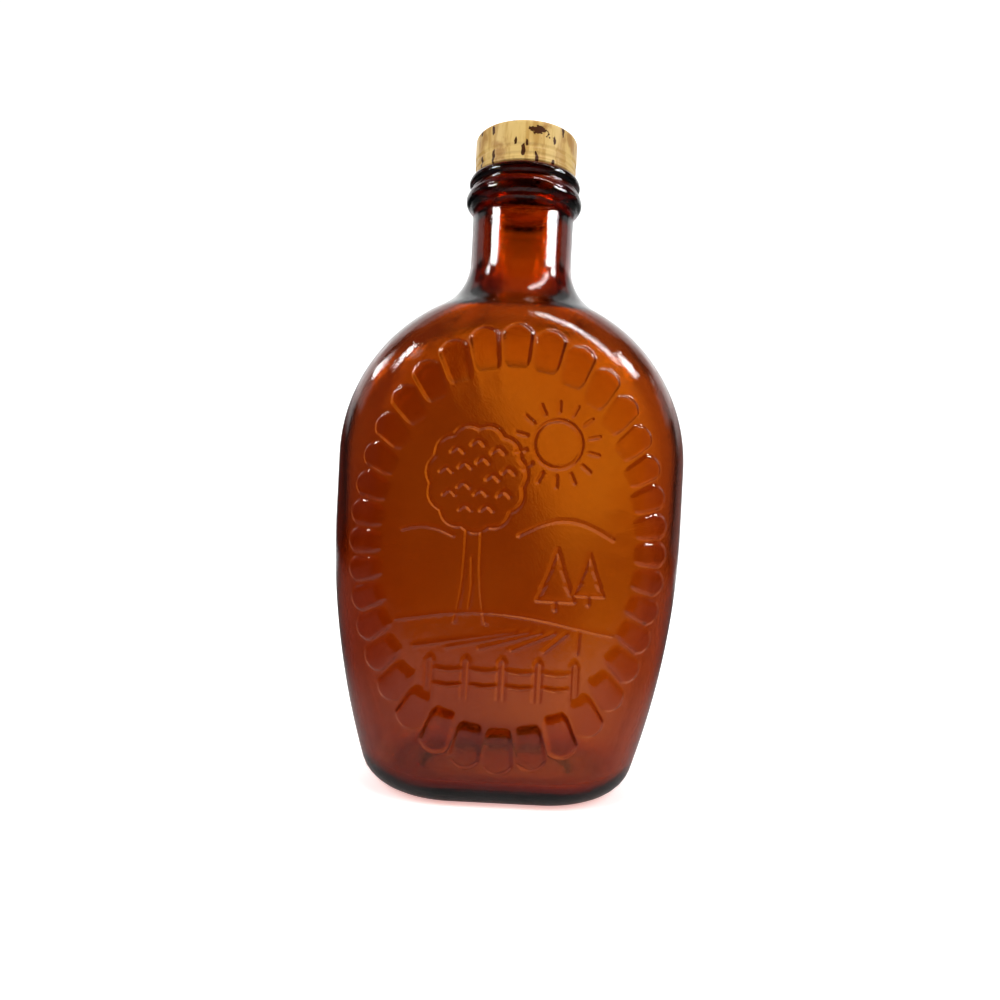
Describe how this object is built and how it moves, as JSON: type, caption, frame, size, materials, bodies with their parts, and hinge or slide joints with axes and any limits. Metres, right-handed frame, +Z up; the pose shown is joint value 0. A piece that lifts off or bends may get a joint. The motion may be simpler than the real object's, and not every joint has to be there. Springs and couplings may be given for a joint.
{
  "type": "syrup bottle",
  "caption": "Flask-shaped amber glass syrup bottle with a scalloped oval border on both panels, a round neck with two rings, and a cork-look screw cap.",
  "frame": {"origin": "centre of the flat base, on the surface that the bottle stands on", "axes": "+Z up along the neck, the embossed front faces -Y, +X to the right as seen from the front"},
  "size_m": [0.1108, 0.0646, 0.21],
  "materials": {
    "glass": "clear amber pressed glass, polished by the flame",
    "cap": "thin sheet metal printed in straw and brown like cork, satin lacquer"
  },
  "bodies": {
    "root": {"bottle": "glass", "cap": "cap"}
  },
  "joints": []
}
